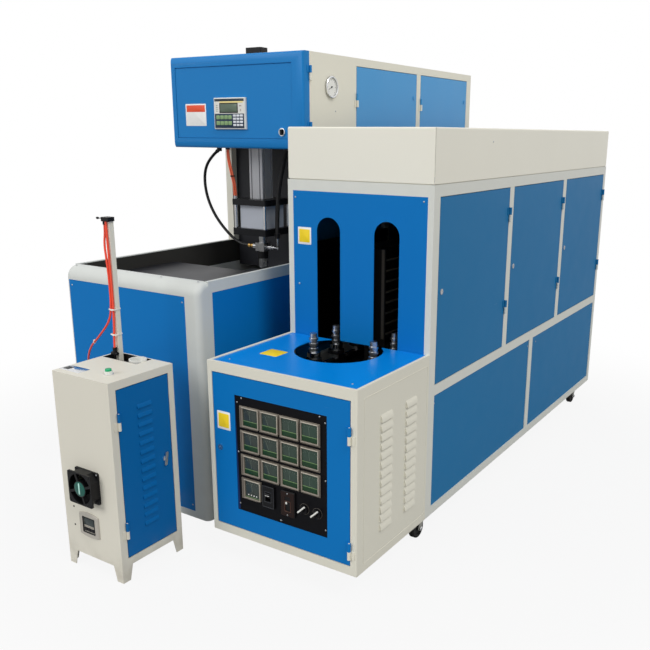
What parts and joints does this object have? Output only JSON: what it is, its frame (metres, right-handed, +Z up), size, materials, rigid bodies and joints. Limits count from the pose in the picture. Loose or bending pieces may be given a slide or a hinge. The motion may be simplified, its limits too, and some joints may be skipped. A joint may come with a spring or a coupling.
{
  "type": "blow moulding machine",
  "caption": "Stretch blow moulding set for large water bottles: castored preform oven with table and meters, blowing press with overhanging head, and a small air cabinet.",
  "frame": {"origin": "middle of the set's outline, on the floor", "axes": "+X from the press towards the oven's side doors, +Y from the operator's side towards the rear, +Z up"},
  "size_m": [1.5788, 2.953, 1.903],
  "materials": {
    "cream_paint": "satin powder coat",
    "white_paint": "satin powder coat",
    "door_blue": "satin paint, light orange peel",
    "oven_blue": "satin paint",
    "table_blue": "smooth glossy sheet",
    "black_metal": "black oxide",
    "bright_steel": "turned and brushed",
    "chrome": "polished plating",
    "aluminium": "anodised profile and milled blocks",
    "black_plastic": "moulded",
    "meter_plastic": "moulded bezels with windows",
    "grey_plastic": "moulded housing",
    "green_plastic": "translucent cap",
    "wheel_rubber": "cast tread",
    "red_hose": "polyurethane hose",
    "black_hose": "braid-covered hose",
    "lamp_glass": "quartz tubes and bright reflectors",
    "mixed_fittings": "plastic and metal fittings"
  },
  "bodies": {
    "machine_base": {"heater_frame": "cream_paint", "heater_hood": "cream_paint", "heater_panels": "door_blue", "heater_front_wall": "oven_blue", "control_box": "cream_paint", "table_sheet": "table_blue", "chain_bed": "black_metal", "chain": "bright_steel", "lamp_bank": "lamp_glass", "press_cabinet": "cream_paint", "press_panels": "door_blue", "deck": "black_metal", "press_head": "cream_paint", "press_fittings": "mixed_fittings", "seal_cylinder": "aluminium", "aux_cabinet": "white_paint", "aux_fittings": "black_plastic", "aux_pole": "white_paint", "aux_hose": "red_hose", "aux_hose_branch": "red_hose", "press_red_hose": "red_hose", "press_black_hose": "black_hose", "press_conduit": "black_hose"},
    "heater_door_front": {"heater_door_front": "oven_blue"},
    "heater_lock_front": {"heater_lock_front": "chrome"},
    "heater_door_middle": {"heater_door_middle": "oven_blue"},
    "heater_lock_middle": {"heater_lock_middle": "chrome"},
    "heater_door_rear": {"heater_door_rear": "oven_blue"},
    "heater_lock_rear": {"heater_lock_rear": "chrome"},
    "control_door": {"control_door": "door_blue", "instrument_plate": "black_metal", "instruments": "meter_plastic"},
    "control_lock": {"control_lock": "chrome"},
    "selector_left": {"selector_left": "black_plastic"},
    "selector_right": {"selector_right": "black_plastic"},
    "breaker_lever": {"breaker_lever": "black_plastic"},
    "castor_fork_front_left": {"castor_fork_front_left": "bright_steel"},
    "castor_wheel_front_left": {"castor_wheel_front_left": "wheel_rubber"},
    "castor_fork_front_right": {"castor_fork_front_right": "bright_steel"},
    "castor_wheel_front_right": {"castor_wheel_front_right": "wheel_rubber"},
    "castor_fork_rear_left": {"castor_fork_rear_left": "bright_steel"},
    "castor_wheel_rear_left": {"castor_wheel_rear_left": "wheel_rubber"},
    "castor_fork_rear_right": {"castor_fork_rear_right": "bright_steel"},
    "castor_wheel_rear_right": {"castor_wheel_rear_right": "wheel_rubber"},
    "drive_wheel": {"drive_wheel": "black_metal"},
    "front_wheel": {"front_wheel": "black_metal"},
    "spindle_front": {"spindle_front": "bright_steel"},
    "mould_front": {"mould_front": "aluminium"},
    "mould_rear": {"mould_rear": "aluminium"},
    "seal_nozzle": {"seal_nozzle": "bright_steel"},
    "stretch_rod": {"stretch_rod": "bright_steel"},
    "head_door": {"head_door": "door_blue", "controller": "grey_plastic"},
    "key_switch": {"key_switch": "chrome"},
    "press_door_front": {"press_door_front": "door_blue"},
    "press_door_rear": {"press_door_rear": "door_blue"},
    "aux_door": {"aux_door": "door_blue"},
    "aux_latch": {"aux_latch": "chrome"},
    "fan_wheel": {"fan_wheel": "black_plastic"},
    "push_button": {"push_button": "green_plastic"}
  },
  "joints": [
    {"name": "heater_door_front_hinge", "type": "hinge", "parent": "machine_base", "child": "heater_door_front", "pos_m": [0.7834, 0.06225, 0.9835], "axis": [0, 0, 1], "range_deg": [0, 110]},
    {"name": "heater_lock_front_turn", "type": "hinge", "parent": "heater_door_front", "child": "heater_lock_front", "pos_m": [0.7771, -0.552, 0.9875], "axis": [-1, 0, 0], "range_deg": [0, 90]},
    {"name": "heater_door_middle_hinge", "type": "hinge", "parent": "machine_base", "child": "heater_door_middle", "pos_m": [0.7834, 0.75125, 0.9835], "axis": [0, 0, 1], "range_deg": [0, 110]},
    {"name": "heater_lock_middle_turn", "type": "hinge", "parent": "heater_door_middle", "child": "heater_lock_middle", "pos_m": [0.7771, 0.137, 0.9875], "axis": [-1, 0, 0], "range_deg": [0, 90]},
    {"name": "heater_door_rear_hinge", "type": "hinge", "parent": "machine_base", "child": "heater_door_rear", "pos_m": [0.7834, 1.44025, 0.9835], "axis": [0, 0, 1], "range_deg": [0, 110]},
    {"name": "heater_lock_rear_turn", "type": "hinge", "parent": "heater_door_rear", "child": "heater_lock_rear", "pos_m": [0.7771, 0.826, 0.9875], "axis": [-1, 0, 0], "range_deg": [0, 90]},
    {"name": "control_door_hinge", "type": "hinge", "parent": "machine_base", "child": "control_door", "pos_m": [0.75085, -1.1178, 0.43], "axis": [0, 0, 1], "range_deg": [0, 110]},
    {"name": "control_lock_turn", "type": "hinge", "parent": "control_door", "child": "control_lock", "pos_m": [0.1956, -1.1115, 0.447], "axis": [0, 1, 0], "range_deg": [0, 90]},
    {"name": "selector_left_turn", "type": "hinge", "parent": "control_door", "child": "selector_left", "pos_m": [0.5646, -1.1095, 0.303], "axis": [0, -1, 0], "range_deg": [-45, 45]},
    {"name": "selector_right_turn", "type": "hinge", "parent": "control_door", "child": "selector_right", "pos_m": [0.6186, -1.1095, 0.301], "axis": [0, -1, 0], "range_deg": [-45, 45]},
    {"name": "breaker_lever_tilt", "type": "hinge", "parent": "control_door", "child": "breaker_lever", "pos_m": [0.4126, -1.1065, 0.309], "axis": [1, 0, 0], "range_deg": [0, 76]},
    {"name": "castor_front_left_swivel", "type": "hinge", "parent": "machine_base", "child": "castor_fork_front_left", "pos_m": [0.2091, -0.5525, 0.1], "axis": [0, 0, 1], "continuous": true},
    {"name": "castor_front_left_roll", "type": "hinge", "parent": "castor_fork_front_left", "child": "castor_wheel_front_left", "pos_m": [0.2091, -0.5805, 0.04], "axis": [1, 0, 0], "continuous": true},
    {"name": "castor_front_right_swivel", "type": "hinge", "parent": "machine_base", "child": "castor_fork_front_right", "pos_m": [0.7151, -0.5525, 0.1], "axis": [0, 0, 1], "continuous": true},
    {"name": "castor_front_right_roll", "type": "hinge", "parent": "castor_fork_front_right", "child": "castor_wheel_front_right", "pos_m": [0.7151, -0.5805, 0.04], "axis": [1, 0, 0], "continuous": true},
    {"name": "castor_rear_left_swivel", "type": "hinge", "parent": "machine_base", "child": "castor_fork_rear_left", "pos_m": [0.2091, 1.3735, 0.1], "axis": [0, 0, 1], "continuous": true},
    {"name": "castor_rear_left_roll", "type": "hinge", "parent": "castor_fork_rear_left", "child": "castor_wheel_rear_left", "pos_m": [0.2091, 1.3455, 0.04], "axis": [1, 0, 0], "continuous": true},
    {"name": "castor_rear_right_swivel", "type": "hinge", "parent": "machine_base", "child": "castor_fork_rear_right", "pos_m": [0.7151, 1.3735, 0.1], "axis": [0, 0, 1], "continuous": true},
    {"name": "castor_rear_right_roll", "type": "hinge", "parent": "castor_fork_rear_right", "child": "castor_wheel_rear_right", "pos_m": [0.7151, 1.3455, 0.04], "axis": [1, 0, 0], "continuous": true},
    {"name": "drive_wheel_spin", "type": "hinge", "parent": "machine_base", "child": "drive_wheel", "pos_m": [0.4621, 1.29035, 0.67], "axis": [0, 0, 1], "continuous": true},
    {"name": "front_wheel_spin", "type": "hinge", "parent": "machine_base", "child": "front_wheel", "pos_m": [0.4621, -0.7475, 0.67], "axis": [0, 0, 1], "continuous": true},
    {"name": "spindle_front_spin", "type": "hinge", "parent": "machine_base", "child": "spindle_front", "pos_m": [0.3346, -0.7295, 0.7], "axis": [0, 0, 1], "continuous": true},
    {"name": "mould_front_slide", "type": "slide", "parent": "machine_base", "child": "mould_front", "axis": [0, -1, 0], "range_m": [0, 0.17]},
    {"name": "mould_rear_slide", "type": "slide", "parent": "machine_base", "child": "mould_rear", "axis": [0, 1, 0], "range_m": [0, 0.17]},
    {"name": "seal_nozzle_slide", "type": "slide", "parent": "machine_base", "child": "seal_nozzle", "axis": [0, 0, -1], "range_m": [0, 0.0547], "deforming": ["press_black_hose", "press_conduit"]},
    {"name": "stretch_rod_slide", "type": "slide", "parent": "machine_base", "child": "stretch_rod", "axis": [0, 0, -1], "range_m": [0, 0.48]},
    {"name": "head_door_hinge", "type": "hinge", "parent": "machine_base", "child": "head_door", "pos_m": [-0.0211, -0.24, 1.67], "axis": [0, 0, 1], "range_deg": [0, 100]},
    {"name": "key_switch_turn", "type": "hinge", "parent": "head_door", "child": "key_switch", "pos_m": [-0.1394, -0.2885, 1.542], "axis": [0, -1, 0], "range_deg": [0, 90]},
    {"name": "press_door_front_hinge", "type": "hinge", "parent": "machine_base", "child": "press_door_front", "pos_m": [-0.0211, 0.12875, 1.44], "axis": [0, 0, -1], "range_deg": [0, 15]},
    {"name": "press_door_rear_hinge", "type": "hinge", "parent": "machine_base", "child": "press_door_rear", "pos_m": [-0.0211, 0.75275, 1.44], "axis": [0, 0, -1], "range_deg": [0, 15]},
    {"name": "aux_door_hinge", "type": "hinge", "parent": "machine_base", "child": "aux_door", "pos_m": [0.0204, -1.40825, 0.4], "axis": [0, 0, -1], "range_deg": [0, 110]},
    {"name": "aux_latch_turn", "type": "hinge", "parent": "aux_door", "child": "aux_latch", "pos_m": [0.0141, -1.21, 0.396], "axis": [1, 0, 0], "range_deg": [0, 90]},
    {"name": "fan_spin", "type": "hinge", "parent": "machine_base", "child": "fan_wheel", "pos_m": [-0.1289, -1.46, 0.342], "axis": [0, 1, 0], "continuous": true},
    {"name": "push_button_press", "type": "slide", "parent": "machine_base", "child": "push_button", "axis": [0, 0, -1], "range_m": [0, 0.004], "stiffness_N_per_m": 300, "springref_m": -0.001}
  ],
  "couplings": [
    {"joint": "front_wheel_spin", "follows": "drive_wheel_spin", "ratio": 1},
    {"joint": "mould_rear_slide", "follows": "mould_front_slide", "ratio": 1}
  ]
}
